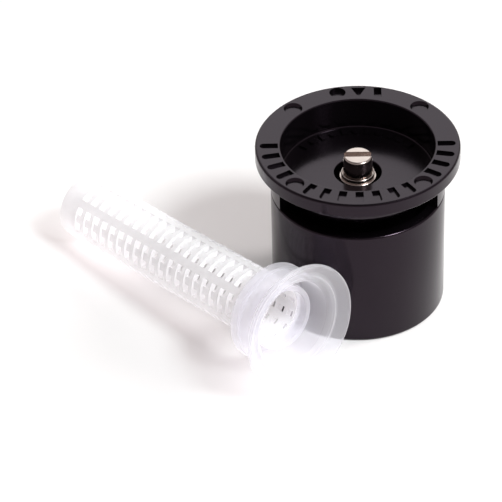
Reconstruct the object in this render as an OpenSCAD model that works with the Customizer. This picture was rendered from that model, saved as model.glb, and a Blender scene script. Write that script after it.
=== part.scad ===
// Half-circle spray nozzle for a pop-up sprinkler, with its loose basket screen.
// Millimetres. Z is up, the nozzle stands on z = 0 with its axis on the origin,
// and the spray slit opens towards -Y. The screen lies on z = 0 at the front left.

/* [Nozzle envelope] */
// Outer diameter of the top flange
flange_d = 22.86; // [21:0.02:26]
// Overall height, skirt foot to flange face
nozzle_h = 20.1; // [18:0.1:24]
// Flange thickness
flange_t = 1.68; // [1.2:0.02:2.6]
// Skirt outer radius just below the slit
skirt_r = 9.72; // [9:0.02:11]
// Skirt outer radius at the foot
skirt_foot_r = 9.6; // [9:0.02:11]
// Height of the skirt's top edge, the lower lip of the slit
skirt_top_z = 14.3; // [12:0.1:16]

/* [Riser thread] */
// Minor radius of the internal 5/8-28 thread
thread_r = 7.446; // [7:0.001:8]
// Threaded depth, up to the relief below the deck
thread_len = 7.6; // [6:0.1:8]
// Depth of the skirt's bore, up to the deck
bore_len = 9.5; // [8:0.1:11]

/* [Spray chamber] */
// Radius of the passage through the skirt's inner deck
deck_hole_r = 5.6; // [4:0.1:6.5]
// Height of the deck's upper face
deck_z = 11.3; // [10.8:0.1:12]
// Radius of the chamber above the deck
chamber_r = 8.35; // [8:0.05:8.8]
// Thickness of the orifice plate
plate_t = 1.3; // [1:0.05:2]
// Inner radius of the half-circle orifice
orifice_ri = 4.35; // [4.1:0.05:4.8]
// Outer radius of the half-circle orifice
orifice_ro = 5.15; // [4.9:0.05:5.5]

/* [Deflector cap] */
// Radius of the pocket in the flange
pocket_r = 8.6; // [8:0.02:9]
// Depth of the pocket
pocket_depth = 3.75; // [3:0.05:4.5]
// Outer radius of the cup wall behind the slit
cup_r = 9.12; // [8.9:0.02:9.4]
// Height of the cup's underside, above the slit
slit_top_z = 15.15; // [14.8:0.05:15.6]
// Rounding between the cup's underside and its outer wall
cup_round = 1.9; // [0.3:0.1:2]
// Angle in front of the X axis where the back wall ends
wall_end_a = 25.7; // [20:0.1:35]
// Radius of the hub that carries the screw
hub_r = 4; // [3.5:0.1:4.2]
// Radius of the counterbore around the screw
counterbore_r = 2.62; // [2.4:0.02:3]
// Height of the counterbore's floor
counterbore_z = 13.4; // [13.3:0.05:14]

/* [Flange marks] */
// Angle between neighbouring ticks
tick_pitch_a = 11.25; // [10:0.25:15]
// Tick width
tick_w = 0.9; // [0.5:0.02:1.2]
// Radius where a tick starts
tick_ri = 8.86; // [8.7:0.02:9.4]
// Radius where a tick ends
tick_ro = 10.88; // [10:0.02:11.2]
// Depth of the ticks
tick_depth = 0.36; // [0.3:0.02:0.9]
// Radius of the circle the dimples lie on
dimple_pcr = 10; // [9.8:0.05:10.2]
// Radius of a dimple at the flange face
dimple_r = 1.08; // [0.8:0.02:1.2]
// Depth of a dimple
dimple_depth = 0.35; // [0.2:0.05:0.8]
// Radial middle of the plain shapes at the back
symbol_r = 10.02; // [9.8:0.02:10.2]
// Radial height of the shapes at the back
symbol_h = 1.9; // [1.4:0.05:2.1]

/* [Adjusting screw] */
// Head radius
head_r = 1.63; // [1.4:0.01:1.8]
// Height of the head's top face
head_top_z = 18.65; // [18:0.05:19.2]
// Height of the head's lower face
head_low_z = 16.22; // [16:0.02:16.5]
// Shank radius
shank_r = 1.3; // [1.1:0.01:1.4]
// Height of the screw's lower end
shank_tip_z = 8.6; // [8:0.1:9.4]
// Driver slot width
driver_w = 0.9; // [0.5:0.02:1.1]
// Distance from the screw's axis back to the driver slot's middle
driver_off = 0.18; // [0:0.02:0.3]
// Driver slot depth
driver_depth = 0.62; // [0.4:0.02:0.9]
// Radius of the collar's foot
collar_r = 2.07; // [1.9:0.01:2.2]
// Height of the lip that the collar turns up round the head
lip_top_z = 16.45; // [16.3:0.01:16.6]
// Height of the collar's lower face
collar_low_z = 15.45; // [15.4:0.05:15.7]

/* [Filter screen] */
// Outer radius of the mouth flange
screen_flange_r = 7.38; // [7:0.02:7.4]
// Overall length, mouth lip to closed end
screen_len = 37.7; // [34:0.1:40]
// Radius of the ring that plugs the riser
plug_r = 5.67; // [5.6:0.01:6.1]
// Tube outer radius next to the mouth
tube_r = 3.76; // [3.5:0.02:4]
// Tube outer radius at the closed end
tube_end_r = 3.66; // [3.4:0.02:3.9]
// Tube bore radius
tube_bore_r = 3.05; // [2.8:0.05:3.2]
// Number of full ribs along the tube; a thinner one runs between each two
rib_n = 6; // [4:1:8]
// Width of a rib
rib_w = 0.95; // [0.6:0.05:1.4]
// Outer radius of the thinner ribs
thin_rib_r = 3.4; // [3.2:0.02:3.7]
// Windows in each row
window_n = 21; // [16:1:24]
// Spacing of the windows along the tube
window_pitch = 1.466; // [1.2:0.001:1.6]
// Window width along the tube
window_w = 0.88; // [0.6:0.01:1]
// Distance from mouth lip to the first window's middle
window_first = 5.11; // [5:0.01:5.6]

/* [Filter screen placing] */
// Mouth centre, distance to the right of the nozzle axis
screen_x = -6.62; // [-12:0.01:0]
// Mouth centre, distance behind the nozzle axis
screen_y = -16.67; // [-24:0.01:-14]
// Direction of the closed end, from +X towards +Y
screen_heading = 130.5; // [110:0.1:150]
// Turn of the ribs about the tube's axis
screen_roll = 15.7; // [0:0.1:60]

/* [Hidden] */
$fn = 96;
eps = 0.05;
flange_r = flange_d / 2;
flange_low_z = nozzle_h - flange_t;
floor_z = nozzle_h - pocket_depth;
plate_top_z = deck_z + plate_t;
screw_bore_r = shank_r + 0.06;
mark_h = 0.22;
mark_pcr = 7.55;
mark_r = 0.5;
mark_pitch_a = 10;
relief_r = 7.95;
cage_s0 = 4.4;
cage_s1 = screen_len - 1.2;
neck_r = 5.4;
neck_bore_r = 4.95;
seat_s = 2.87;
seat_r = 3.2;
seat_ro = 3.87;
plug_s0 = 4.2;
plug_s1 = 5.5;
web_s1 = 5.95;
end_round = 0.3;
rest_s0 = 0.42;
rest_s1 = screen_len - end_round;
screen_tilt = atan((screen_flange_r - tube_end_r) / (rest_s1 - rest_s0));
screen_z = screen_flange_r * cos(screen_tilt) + rest_s0 * sin(screen_tilt) + 0.01;

col_black = [0.03, 0.03, 0.035];
col_steel = [0.72, 0.72, 0.74];
col_screen = [0.92, 0.93, 0.97, 0.7];

// Points of an arc from angle a0 to a1, for rounding the corner of a profile.
function arc(cx, cy, r, a0, a1, n = 4) =
    [for (i = [0:n]) [cx + r * cos(a0 + (a1 - a0) * i / n), cy + r * sin(a0 + (a1 - a0) * i / n)]];

// Threaded skirt: riser bore, inner deck and spray chamber.
module nozzle_base() {
    foot = 0.3;
    lip = 0.28;
    color(col_black)
    rotate_extrude()
        polygon(concat(
            [[thread_r, 0]],
            arc(skirt_foot_r - foot, foot, foot, -90, 0),
            arc(skirt_r - lip, skirt_top_z - lip, lip, 0, 90),
            [[chamber_r + 0.15, skirt_top_z],
             [chamber_r, skirt_top_z - 0.15],
             [chamber_r, deck_z],
             [deck_hole_r, deck_z],
             [deck_hole_r, bore_len],
             [relief_r, bore_len],
             [relief_r, thread_len + 0.3],
             [thread_r, thread_len]]));
}

// Metering plate on the deck: the half-circle slot faces the spray side.
module orifice_plate() {
    color(col_black)
    translate([0, 0, deck_z])
        difference() {
            cylinder(h = plate_t, r = chamber_r - 0.06);
            translate([0, 0, -eps])
                cylinder(h = plate_t + 2 * eps, r = shank_r + 0.35);
            translate([0, 0, -eps])
                rotate([0, 0, 180])
                    rotate_extrude(angle = 180)
                        translate([orifice_ri, 0])
                            square([orifice_ro - orifice_ri, plate_t + 2 * eps]);
        }
}

// One turned profile: flange, cup, pocket floor, hub and screw bore.
module cap_profile() {
    edge = 0.26;
    rim = 0.16;
    root = 0.2;
    polygon(concat(
        [[screw_bore_r, plate_top_z],
         [hub_r, plate_top_z],
         [hub_r, slit_top_z]],
        arc(cup_r - cup_round, slit_top_z + cup_round, cup_round, -90, 0, 10),
        arc(cup_r + root, flange_low_z - root, root, 180, 90),
        arc(flange_r - 0.18, flange_low_z + 0.18, 0.18, -90, 0),
        arc(flange_r - edge, nozzle_h - edge, edge, 0, 90),
        arc(pocket_r + rim, nozzle_h - rim, rim, 90, 180),
        arc(pocket_r - root, floor_z + root, root, 0, -90),
        arc(counterbore_r + 0.12, floor_z - 0.12, 0.12, 90, 180),
        [[counterbore_r, counterbore_z],
         [screw_bore_r, counterbore_z]]));
}

// Wall that closes the slit behind the spray arc, and the block inside it.
module cap_back() {
    rotate([0, 0, -wall_end_a])
        rotate_extrude(angle = 180 + 2 * wall_end_a)
            polygon([[cup_r - 0.5, skirt_top_z], [skirt_r - 0.12, skirt_top_z],
                     [skirt_r, skirt_top_z + 0.12], [skirt_r, flange_low_z + 0.3],
                     [cup_r - 0.5, flange_low_z + 0.3]]);
    rotate_extrude(angle = 180)
        translate([hub_r - 0.3, plate_top_z])
            square([chamber_r - 0.06 - hub_r + 0.3, slit_top_z + 0.6 - plate_top_z]);
}

// Ticks every step of the front half; dimples take the places on the diagonals.
module flange_ticks() {
    for (i = [0:16])
        if (i % 8 != 4)
            rotate([0, 0, 180 + tick_pitch_a * i])
                translate([0, 0, nozzle_h - tick_depth])
                    linear_extrude(height = tick_depth + eps)
                        tick();
    for (a = [45:90:315])
        rotate([0, 0, a])
            translate([dimple_pcr, 0, nozzle_h - dimple_depth])
                cylinder(h = dimple_depth + eps, r1 = dimple_r * 0.78, r2 = dimple_r);
}

// Outline of one tick: a bar whose outer end is round.
module tick() {
    translate([tick_ri, -tick_w / 2])
        square([tick_ro - tick_ri - tick_w / 2, tick_w]);
    translate([tick_ro - tick_w / 2, 0])
        circle(d = tick_w);
}

// Plain shapes at the back: disc with a flat foot, triangle pointing inwards, and a bar.
module flange_symbol() {
    z0 = nozzle_h - 0.5;
    translate([-2.05, symbol_r - 0.02, z0])
        linear_extrude(height = 0.5 + eps)
            difference() {
                circle(r = 0.92);
                translate([-1.2, -1.7])
                    square([2.4, 1]);
            }
    translate([0.3, symbol_r - symbol_h / 2, z0])
        linear_extrude(height = 0.5 + eps)
            polygon([[0, 0], [0.83, symbol_h - 0.1], [-0.83, symbol_h - 0.1]]);
    translate([2.03, symbol_r - symbol_h / 2 - 0.05, z0])
        cube([0.85, symbol_h - 0.1, 0.5 + eps]);
}

// Plain raised dots and dashes on the pocket floor, following its back wall.
module floor_marks() {
    for (i = [-5:5])
        rotate([0, 0, 90 + i * mark_pitch_a])
            if (i % 2 == 0)
                translate([mark_pcr, 0, floor_z - eps])
                    cylinder(h = mark_h + eps, r = mark_r, $fn = 32);
            else
                rotate([0, 0, -mark_pitch_a * 0.28])
                    rotate_extrude(angle = mark_pitch_a * 0.56)
                        translate([mark_pcr - mark_r, floor_z - eps])
                            square([2 * mark_r, mark_h + eps]);
}

// Flanged top of the nozzle.
module deflector_cap() {
    color(col_black)
    union() {
        difference() {
            union() {
                rotate_extrude()
                    cap_profile();
                cap_back();
            }
            flange_ticks();
            flange_symbol();
        }
        floor_marks();
    }
}

// Slotted stainless screw; turning it lowers its tip towards the screen's seat.
module adjusting_screw() {
    head_round = 0.26;
    color(col_steel)
    difference() {
        rotate_extrude()
            polygon(concat(
                [[0, shank_tip_z], [0.8, shank_tip_z], [shank_r, shank_tip_z + 0.6],
                 [shank_r, head_low_z], [head_r, head_low_z]],
                arc(head_r - head_round, head_top_z - head_round, head_round, 0, 90),
                [[0, head_top_z]]));
        translate([-head_r - 1, driver_off - driver_w / 2, head_top_z - driver_depth])
            cube([2 * head_r + 2, driver_w, driver_depth + 1]);
    }
}

// Cupped collar that travels with the screw in the counterbore; the head stands in its cup.
module screw_collar() {
    cup_floor_z = head_low_z - 0.03;
    foot_top_z = 15.95;
    lip = 0.08;
    lip_r = head_r + 0.17;
    color(col_steel)
    rotate_extrude()
        polygon(concat(
            [[screw_bore_r, collar_low_z], [collar_r - 0.1, collar_low_z],
             [collar_r, collar_low_z + 0.1]],
            arc(collar_r - lip, foot_top_z - lip, lip, 0, 90, 3),
            [[lip_r + lip, foot_top_z]],
            arc(lip_r, lip_top_z - lip, lip, 0, 180, 6),
            [[lip_r - lip, cup_floor_z], [screw_bore_r, cup_floor_z]]));
}

// Places a piece of the screen: its axis leaves the mouth as local +Z.
module place_screen() {
    translate([screen_x, screen_y, screen_z])
        rotate([0, 90 + screen_tilt, screen_heading])
            rotate([0, 0, screen_roll])
                children();
}

// Dished flange with a raised inner ring, neck, plug ring and the web round the tube.
module screen_mouth() {
    bead = 0.15;
    color(col_screen)
    place_screen()
        rotate_extrude()
            polygon(concat(
                arc(screen_flange_r - bead, bead, bead, 180, 360, 6),
                [[screen_flange_r, 0.42], [screen_flange_r - 0.08, 0.55],
                 [6.55, 1.35], [6.2, 1.55], [neck_r + 0.25, 1.65], [neck_r, 1.9],
                 [neck_r, plug_s0 - 0.1], [plug_r - 0.1, plug_s0]],
                arc(plug_r - 0.15, plug_s0 + 0.25, 0.15, -60, 0, 3),
                [[plug_r, plug_s1 - 0.15], [plug_r - 0.15, plug_s1],
                 [5, web_s1 - 0.1], [4.4, web_s1], [tube_r, web_s1],
                 [tube_r, plug_s1], [neck_bore_r - 0.2, plug_s1],
                 [neck_bore_r, plug_s1 - 0.2], [neck_bore_r, 1.45],
                 [neck_bore_r + 0.06, 1.25], [5.3, 0.86], [5.58, 0.73], [5.74, 0.75],
                 [5.84, 0.88], [5.9, 0.98], [6.02, 1.03], [6.2, 1], [6.34, 0.9]]));
}

// Mouth of the inner tube, standing free in the neck; the screw tip closes towards it.
module screen_seat() {
    color(col_screen)
    place_screen()
        rotate_extrude()
            polygon(concat(
                [[seat_r, seat_s + 0.2], [seat_r + 0.1, seat_s + 0.04]],
                arc(seat_ro - 0.14, seat_s + 0.14, 0.14, -90, 0, 3),
                [[seat_ro, cage_s0 - 0.12], [tube_r, cage_s0], [seat_r, cage_s0]]));
}

// Windows of one ring: an annulus with the full and the thinner ribs left standing.
module window_ring() {
    linear_extrude(height = window_w)
        difference() {
            circle(r = tube_r + 0.6);
            circle(r = tube_bore_r - 0.4);
            ribs(0, tube_r + 1);
            intersection() {
                circle(r = thin_rib_r);
                ribs(180 / rib_n, tube_r + 1);
            }
        }
}

// Flat bars from the axis out to r, the first one turned by a.
module ribs(a, r) {
    for (i = [0:rib_n - 1])
        rotate([0, 0, a + i * 360 / rib_n])
            translate([0, -rib_w / 2])
                square([r, rib_w]);
}

// Slotted tube.
module screen_cage() {
    color(col_screen)
    place_screen()
        difference() {
            rotate_extrude()
                polygon([[tube_bore_r, cage_s0], [tube_r, cage_s0], [tube_r, web_s1],
                         [tube_end_r, cage_s1], [tube_bore_r, cage_s1]]);
            for (i = [0:window_n - 1])
                translate([0, 0, window_first + i * window_pitch - window_w / 2])
                    window_ring();
        }
}

// Closed end of the tube, with a short spigot inside it.
module screen_end_cap() {
    color(col_screen)
    place_screen()
        rotate_extrude()
            polygon(concat(
                [[0, cage_s1 - 0.25], [tube_bore_r - 0.06, cage_s1 - 0.25],
                 [tube_bore_r - 0.06, cage_s1], [tube_end_r, cage_s1]],
                arc(tube_end_r - end_round, screen_len - end_round, end_round, 0, 90),
                [[0, screen_len]]));
}

nozzle_base();
orifice_plate();
deflector_cap();
adjusting_screw();
screw_collar();
screen_mouth();
screen_seat();
screen_cage();
screen_end_cap();
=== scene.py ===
"""Looks of the spray nozzle and its loose basket screen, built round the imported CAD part."""

import math

import bpy
from mathutils import Matrix, Vector


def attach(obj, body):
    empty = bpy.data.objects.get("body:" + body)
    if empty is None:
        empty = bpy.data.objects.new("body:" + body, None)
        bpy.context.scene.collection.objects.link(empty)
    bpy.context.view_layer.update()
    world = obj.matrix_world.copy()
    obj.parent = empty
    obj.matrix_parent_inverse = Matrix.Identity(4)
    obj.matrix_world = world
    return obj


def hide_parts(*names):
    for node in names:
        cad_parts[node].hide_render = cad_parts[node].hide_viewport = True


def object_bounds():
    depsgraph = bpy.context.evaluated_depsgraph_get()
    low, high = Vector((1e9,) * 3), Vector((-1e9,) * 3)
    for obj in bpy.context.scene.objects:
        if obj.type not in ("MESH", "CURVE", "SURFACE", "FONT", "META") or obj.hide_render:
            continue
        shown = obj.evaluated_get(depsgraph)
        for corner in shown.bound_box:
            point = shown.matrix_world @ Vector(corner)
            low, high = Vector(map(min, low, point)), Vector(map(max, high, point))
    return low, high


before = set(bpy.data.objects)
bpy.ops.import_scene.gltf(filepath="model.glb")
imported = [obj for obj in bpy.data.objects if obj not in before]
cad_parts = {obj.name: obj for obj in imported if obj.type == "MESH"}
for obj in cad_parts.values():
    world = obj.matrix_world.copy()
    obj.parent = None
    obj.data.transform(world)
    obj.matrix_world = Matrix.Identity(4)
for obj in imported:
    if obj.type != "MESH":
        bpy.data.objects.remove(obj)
cad_lo, cad_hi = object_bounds()

MM = 0.001
SHARP_ANGLE = 35  # degrees between two faces, over which the edge between them is sharp


# ---------------------------------------------------------------- node helpers
class Nodes:
    """A small wrapper that adds nodes to one material and links them by socket name."""

    def __init__(self, name):
        self.mat = bpy.data.materials.new(name)
        self.mat.use_nodes = True
        self.tree = self.mat.node_tree
        self.tree.nodes.clear()

    def add(self, kind, inputs=None, **settings):
        """A node whose inputs, by name or number, are linked to a socket or set to a value."""
        node = self.tree.nodes.new("ShaderNode" + kind)
        for key, value in settings.items():
            setattr(node, key, value)
        for key, value in (inputs or {}).items():
            socket = node.inputs[key]
            if isinstance(value, bpy.types.NodeSocket):
                self.tree.links.new(value, socket)
            else:
                socket.default_value = value
        return node

    def ramp(self, value, *stops):
        """A colour ramp through (place, level) stops, a level being a grey or a colour."""
        node = self.add("ValToRGB", {0: value})
        elements = node.color_ramp.elements
        while len(elements) < len(stops):
            elements.new(0.5)
        for element, (place, level) in zip(elements, stops):
            element.position = place
            element.color = (*level, 1) if isinstance(level, tuple) else (level,) * 3 + (1,)
        return node.outputs["Color"]

    def noise(self, vector, scale, detail, rough=0.5):
        inputs = {"Vector": vector, "Scale": scale, "Detail": detail, "Roughness": rough}
        return self.add("TexNoise", inputs).outputs["Fac"]

    def bump(self, height, distance, strength, normal=None):
        inputs = {"Height": height, "Distance": distance, "Strength": strength}
        if normal is not None:
            inputs["Normal"] = normal
        return self.add("Bump", inputs).outputs["Normal"]

    def mix(self, share, first, second):
        """The first shader, giving way to the second by this share."""
        return self.add("MixShader", {"Fac": share, 1: first, 2: second}).outputs["Shader"]

    def place(self):
        return self.add("TexCoord").outputs["Object"]

    def out(self, shader):
        self.add("OutputMaterial", {"Surface": shader})
        return self.mat


def black_plastic(name="moulded_black"):
    """Injection-moulded black plastic: faint flow mottling, fine pebble and a soft gloss."""
    n = Nodes(name)
    at = n.place()
    cloud = n.noise(at, scale=160, detail=4)
    fine = n.noise(at, scale=2600, detail=2)
    colour = n.ramp(cloud, (0.3, (0.0014, 0.001, 0.0014)), (0.7, (0.0028, 0.0022, 0.003)))
    rough = n.ramp(cloud, (0.3, 0.14), (0.75, 0.23))
    soft = n.bump(cloud, distance=0.05 * MM, strength=0.3)
    normal = n.bump(fine, distance=0.005 * MM, strength=0.5, normal=soft)
    shader = n.add(
        "BsdfPrincipled",
        {
            "Base Color": colour,
            "Roughness": rough,
            "IOR": 1.36,
            "Specular Tint": (1.0, 0.76, 0.98, 1),
            "Normal": normal,
        },
    )
    return n.out(shader.outputs["BSDF"])


def stainless(name="turned_stainless"):
    """Turned stainless steel: fine concentric tool lines and a slightly uneven gloss."""
    n = Nodes(name)
    at = n.place()
    split = n.add("SeparateXYZ", {"Vector": at})
    across = n.add("CombineXYZ", {"X": split.outputs["X"], "Y": split.outputs["Y"]})
    length = n.add("VectorMath", {0: across.outputs["Vector"]}, operation="LENGTH")
    radius = length.outputs["Value"]
    ring_at = n.add("CombineXYZ", {"X": radius, "Z": split.outputs["Z"]}).outputs["Vector"]
    rings = n.noise(ring_at, scale=6000, detail=3, rough=0.6)
    cloud = n.noise(at, scale=500, detail=3)
    colour = n.ramp(cloud, (0.3, (0.42, 0.36, 0.34)), (0.7, (0.55, 0.48, 0.45)))
    rough = n.ramp(cloud, (0.3, 0.2), (0.75, 0.32))
    normal = n.bump(rings, distance=0.008 * MM, strength=0.5)
    shader = n.add(
        "BsdfPrincipled",
        {"Base Color": colour, "Metallic": 1.0, "Roughness": rough, "Normal": normal},
    )
    return n.out(shader.outputs["BSDF"])


def cloudy_screen(name, facing, middle, grazing, dull, bright):
    """Cloudy polypropylene: part of the light passes straight through, the rest is scattered.

    The three numbers are the scattered share seen face on, at an angle and edge on, and the
    two colours are the dullest and brightest of its cloudiness. Shadow rays always pass, a
    little dimmed, so that its shadow stays as light as that of a thin translucent wall.
    """
    n = Nodes(name)
    at = n.place()
    cloud = n.noise(at, scale=300, detail=4)
    fine = n.noise(at, scale=1800, detail=2)
    colour = n.ramp(cloud, (0.3, dull), (0.7, bright))
    soft = n.bump(cloud, distance=0.06 * MM, strength=0.35)
    normal = n.bump(fine, distance=0.01 * MM, strength=0.4, normal=soft)
    body = n.add(
        "BsdfPrincipled",
        {"Base Color": colour, "Roughness": 0.3, "IOR": 1.49, "Normal": normal},
    ).outputs["BSDF"]
    glow = n.add("BsdfTranslucent", {"Color": colour, "Normal": normal}).outputs["BSDF"]
    milky = n.mix(0.35, body, glow)
    clear = n.add("BsdfTransparent", {"Color": (0.975, 0.975, 1.0, 1)}).outputs["BSDF"]
    edge = n.add("LayerWeight", {"Blend": 0.35}).outputs["Facing"]
    share = n.ramp(edge, (0.0, facing), (0.55, middle), (1.0, grazing))
    seen = n.mix(share, clear, milky)
    faint = n.add("BsdfTransparent", {"Color": (0.84, 0.82, 0.82, 1)}).outputs["BSDF"]
    shadow = n.add("LightPath").outputs["Is Shadow Ray"]
    return n.out(n.mix(shadow, seen, faint))


def floor_paint(name="studio_floor"):
    """Matt, very slightly warm white paper."""
    n = Nodes(name)
    shader = n.add(
        "BsdfPrincipled",
        {"Base Color": (0.93, 0.925, 0.925, 1), "Roughness": 0.8, "Specular IOR Level": 0.1},
    )
    return n.out(shader.outputs["BSDF"])


def paint(obj, material):
    """Gives an object this one material."""
    obj.data.materials.clear()
    obj.data.materials.append(material)


# ---------------------------------------------------------------- materials on the CAD nodes
black = black_plastic()
steel = stainless()
thin_screen = cloudy_screen(
    "natural_polypropylene_thin",
    facing=0.28,
    middle=0.46,
    grazing=0.92,
    dull=(0.93, 0.93, 0.965),
    bright=(0.98, 0.98, 1.0),
)
thick_screen = cloudy_screen(
    "natural_polypropylene_thick",
    facing=0.8,
    middle=0.86,
    grazing=0.97,
    dull=(0.94, 0.94, 0.945),
    bright=(0.98, 0.98, 0.985),
)
LOOKS = {
    "nozzle_base": black,
    "orifice_plate": black,
    "deflector_cap": black,
    "adjusting_screw": steel,
    "screw_collar": steel,
    "screen_mouth": thin_screen,
    "screen_seat": thin_screen,
    "screen_cage": thick_screen,
    "screen_end_cap": thick_screen,
}
for node_name, material in LOOKS.items():
    paint(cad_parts[node_name], material)


# ---------------------------------------------------------------- turned pieces with real threads
def new_object(name, mesh, material, body, node):
    """A smooth object that stands for one CAD node and moves with its body."""
    for face in mesh.polygons:
        face.use_smooth = True
    obj = bpy.data.objects.new(name, mesh)
    bpy.context.scene.collection.objects.link(obj)
    paint(obj, material)
    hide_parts(node)
    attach(obj, body)
    return obj


def swept_mesh(name, columns, closed=True):
    """A mesh from equally long columns of points, one column for each angle round the axis."""
    count, tall = len(columns), len(columns[0])
    points = [p for column in columns for p in column]
    faces = []
    for i in range(count):
        j = (i + 1) % count
        for k in range(tall if closed else tall - 1):
            m = (k + 1) % tall
            faces.append((i * tall + k, j * tall + k, j * tall + m, i * tall + m))
    if not closed:
        for k, flip in ((0, True), (tall - 1, False)):
            rim = [i * tall + k for i in range(count)]
            faces.append(tuple(reversed(rim)) if flip else tuple(rim))
    mesh = bpy.data.meshes.new(name)
    mesh.from_pydata(points, [], faces)
    mesh.validate()
    mesh.update()
    return mesh


def corner(cx, cz, r, a0, a1, n):
    """Points of a rounded profile corner, angles in degrees."""
    steps = [math.radians(a0 + (a1 - a0) * i / n) for i in range(n + 1)]
    return [(cx + r * math.cos(a), cz + r * math.sin(a)) for a in steps]


def thread_depth(turns):
    """How deep a thread is cut at this part of its pitch, 0 to 1: flat, slope, flat, slope."""
    flat, slope = 0.16, 0.34
    t = turns % 1.0
    if t < flat:
        return 0.0
    if t < flat + slope:
        return (t - flat) / slope
    if t < 2 * flat + slope:
        return 1.0
    return 1.0 - (t - 2 * flat - slope) / slope


def turned(column, angle):
    """A column of (radius, height) in millimetres, swung to this angle round Z, in metres."""
    c, s = math.cos(angle), math.sin(angle)
    return [(r * MM * c, r * MM * s, z * MM) for r, z in column]


def threaded_skirt():
    """The skirt with its internal 5/8-28 riser thread cut; other faces as in the CAD part."""
    minor, major, pitch, thread_top = 7.446, 7.94, 25.4 / 28, 7.6
    lead_in, run_out, run_out_depth = 0.6, 0.25, 0.15
    foot_r, foot_round = 9.6, 0.3
    side_r, side_z = 9.66, 7.0
    lip_r, lip_round, lip_z = 9.72, 0.28, 14.3
    chamber_r, chamber_edge, chamber_foot = 8.35, 0.15, 0.03
    deck_r, deck_low, deck_top = 5.6, 9.5, 11.3
    relief_r, relief_low, relief_land = 7.95, 7.9, 0.1
    edge = 0.05
    around, steps = 144, 96

    outside = corner(foot_r - foot_round, foot_round, foot_round, -90, 0, 5)
    outside += [(side_r, side_z)]
    outside += corner(lip_r - lip_round, lip_z - lip_round, lip_round, 0, 90, 5)
    chamber = [(chamber_r + chamber_edge, lip_z), (chamber_r, lip_z - chamber_edge)]
    chamber += [(chamber_r, deck_top + edge), (chamber_r - chamber_foot, deck_top)]
    deck = [(deck_r + edge, deck_top), (deck_r, deck_top - edge)]
    deck += [(deck_r, deck_low + edge), (deck_r + edge, deck_low)]
    relief = [(relief_r - edge, deck_low), (relief_r, deck_low - edge)]
    relief += [(relief_r, relief_low + relief_land), (relief_r, relief_low)]

    columns = []
    for i in range(around):
        thread = []
        for k in range(steps + 1):
            z = thread_top * (1 - k / steps)
            fade = min(1.0, z / lead_in, (thread_top - z) / run_out + run_out_depth)
            depth = thread_depth(z / pitch - i / around) * fade
            thread.append((minor + (major - minor) * depth, z))
        column = outside + chamber + deck + relief + thread
        columns.append(turned(column, 2 * math.pi * i / around))
    mesh = swept_mesh("threaded_skirt", columns)
    skirt = new_object("threaded_skirt", mesh, black, "nozzle", "nozzle_base")
    skirt.data.set_sharp_from_angle(angle=math.radians(SHARP_ANGLE))
    return skirt


def threaded_screw():
    """The adjusting screw with its fine thread below the hub and the driver slot in its head."""
    major, minor, pitch = 1.3, 1.1, 0.635
    low, thread_top, head_low, head_top = 8.6, 15.0, 16.22, 18.65
    run_out, plain_from = 0.4, 0.1
    tip_r, tip_ring_r, tip_flat, tip_slope = 0.8, 0.55, 0.12, 0.83
    head_r, head_round, head_land = 1.63, 0.26, 0.04
    under_edge, neck = 0.03, 0.02
    face_ring_r, centre_r = 0.6, 0.05
    driver_w, driver_off, driver_depth = 0.9, 0.18, 0.62
    around, steps = 96, 160

    thread_low = low + tip_flat
    neck_up = [(major, thread_top + plain_from), (major, head_low - neck)]
    head = [(major + neck, head_low), (head_r - under_edge, head_low)]
    head += [(head_r, head_low + under_edge), (head_r, head_top - head_round - head_land)]
    head += corner(head_r - head_round, head_top - head_round, head_round, 0, 90, 8)
    head += [(face_ring_r, head_top), (centre_r, head_top)]

    columns = []
    for i in range(around):
        thread = []
        for k in range(steps + 1):
            z = thread_low + (thread_top - thread_low) * k / steps
            fade = min(1.0, (thread_top - z) / run_out)
            r = major - (major - minor) * thread_depth(z / pitch - i / around) * fade
            thread.append((min(r, tip_r + (z - low) * tip_slope), z))
        column = [(tip_ring_r, low), (tip_r, low)] + thread + neck_up + head
        columns.append(turned(column, 2 * math.pi * i / around))
    mesh = swept_mesh("threaded_screw", columns, closed=False)
    screw = new_object("threaded_screw", mesh, steel, "screw", "adjusting_screw")
    front, back = driver_off - driver_w / 2, driver_off + driver_w / 2
    cut_slot(screw, front, back, head_top - driver_depth, head_top + 1, reach=3)
    screw.data.set_sharp_from_angle(angle=math.radians(SHARP_ANGLE))
    return screw


def cut_slot(obj, front, back, low, high, reach):
    """Cuts a straight slot along X out of an object's mesh, in millimetres."""
    corners = [
        (x * MM, y * MM, z * MM)
        for x in (-reach, reach)
        for y in (front, back)
        for z in (low, high)
    ]
    faces = [(0, 1, 3, 2), (4, 6, 7, 5), (0, 4, 5, 1), (2, 3, 7, 6), (0, 2, 6, 4), (1, 5, 7, 3)]
    mesh = bpy.data.meshes.new("slot_cutter")
    mesh.from_pydata(corners, [], faces)
    cutter = bpy.data.objects.new("slot_cutter", mesh)
    bpy.context.scene.collection.objects.link(cutter)
    cut = obj.modifiers.new("slot", "BOOLEAN")
    cut.operation, cut.object, cut.solver = "DIFFERENCE", cutter, "EXACT"
    depsgraph = bpy.context.evaluated_depsgraph_get()
    carved = bpy.data.meshes.new_from_object(obj.evaluated_get(depsgraph))
    obj.modifiers.clear()
    old, obj.data = obj.data, carved
    bpy.data.meshes.remove(old)
    bpy.data.objects.remove(cutter)
    bpy.data.meshes.remove(mesh)


threaded_skirt()
threaded_screw()


# ---------------------------------------------------------------- stage, light and camera
def add_floor():
    """A wide floor, a hair below the object so that no two faces lie in one plane."""
    side, gap = 3.0, 0.02 * MM
    corners = [(-side, -side, 0), (side, -side, 0), (side, side, 0), (-side, side, 0)]
    mesh = bpy.data.meshes.new("floor")
    mesh.from_pydata(corners, [], [(0, 1, 2, 3)])
    floor = bpy.data.objects.new("floor", mesh)
    bpy.context.scene.collection.objects.link(floor)
    floor.location.z = min(0.0, cad_lo.z) - gap
    paint(floor, floor_paint())


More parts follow.
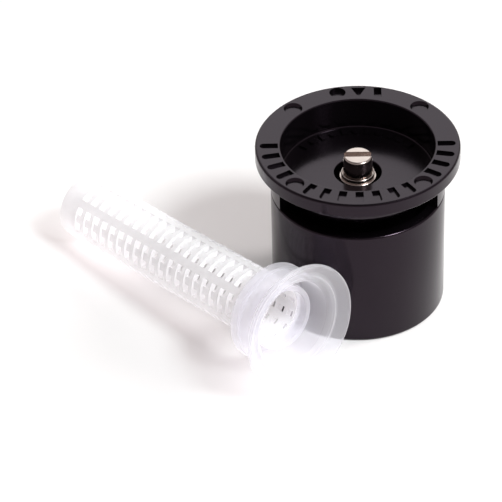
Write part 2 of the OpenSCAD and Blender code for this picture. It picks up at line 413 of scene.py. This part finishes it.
def add_light(name, azimuth, elevation, distance, size, power, colour, mirrored=True):
    """A round area light aimed at the origin, azimuth from +X towards +Y, angles in degrees."""
    a, e = math.radians(azimuth), math.radians(elevation)
    towards = Vector((math.cos(a) * math.cos(e), math.sin(a) * math.cos(e), math.sin(e)))
    data = bpy.data.lights.new(name, "AREA")
    data.shape, data.size, data.energy, data.color = "DISK", size, power, colour
    lamp = bpy.data.objects.new(name, data)
    bpy.context.scene.collection.objects.link(lamp)
    lamp.visible_glossy = mirrored
    lamp.location = towards * distance
    lamp.rotation_mode = "QUATERNION"
    lamp.rotation_quaternion = towards.to_track_quat("Z", "Y")


def add_world(level, overhead):
    """A soft room: one level up to level_to, falling to a darker ceiling above dark_from.

    The two heights are sines of the elevation, so they are 41 and 67 degrees up.
    """
    level_to, dark_from = 0.66, 0.92
    tint = (1.0, 0.9, 0.89)
    world = bpy.data.worlds.new("studio")
    world.use_nodes = True
    tree = world.node_tree
    back = tree.nodes["Background"]
    split = tree.nodes.new("ShaderNodeSeparateXYZ")
    ramp = tree.nodes.new("ShaderNodeValToRGB")
    direction = tree.nodes.new("ShaderNodeTexCoord").outputs["Generated"]
    tree.links.new(direction, split.inputs["Vector"])
    tree.links.new(split.outputs["Z"], ramp.inputs["Fac"])
    tree.links.new(ramp.outputs["Color"], back.inputs["Color"])
    stops = ((level_to, level), (dark_from, overhead))
    for stop, (height, share) in zip(ramp.color_ramp.elements, stops):
        stop.position = height
        stop.color = (*(part * share for part in tint), 1)
    bpy.context.scene.world = world


def add_camera():
    """A long lens from the spray side, looking a little left of and below the nozzle's top."""
    distance, view_width = 0.72, 0.0557
    elevation, roll = math.radians(36.9), math.radians(-0.9)
    left_of_axis, below_top = 0.01184, 0.01181
    forward = Vector((0, math.cos(elevation), -math.sin(elevation)))
    flat_right = Vector((1, 0, 0))
    flat_up = flat_right.cross(forward)
    right = math.cos(roll) * flat_right + math.sin(roll) * flat_up
    up = -math.sin(roll) * flat_right + math.cos(roll) * flat_up
    data = bpy.data.cameras.new("camera")
    data.sensor_width = 36
    data.lens = data.sensor_width * distance / view_width
    data.clip_start, data.clip_end = 0.05, 20
    cam = bpy.data.objects.new("camera", data)
    bpy.context.scene.collection.objects.link(cam)
    aim = Vector((0, 0, cad_hi.z)) - right * left_of_axis - up * below_top
    turn = Matrix((right, up, -forward)).transposed().to_4x4()
    cam.matrix_world = Matrix.Translation(aim - forward * distance) @ turn
    bpy.context.scene.camera = cam


bpy.context.scene.view_settings.view_transform = "Standard"
add_floor()
add_world(level=0.5, overhead=0.1)
add_light(
    "key_right",
    azimuth=18,
    elevation=42,
    distance=0.5,
    size=0.16,
    power=0.9,
    colour=(1.0, 0.94, 0.93),
    mirrored=False,
)
add_light(
    "front_right",
    azimuth=-36,
    elevation=52,
    distance=0.5,
    size=0.14,
    power=2.0,
    colour=(0.97, 1.0, 1.0),
)
add_light(
    "back_panel",
    azimuth=84,
    elevation=37,
    distance=0.6,
    size=0.45,
    power=0.7,
    colour=(0.95, 1.0, 0.98),
)
add_camera()
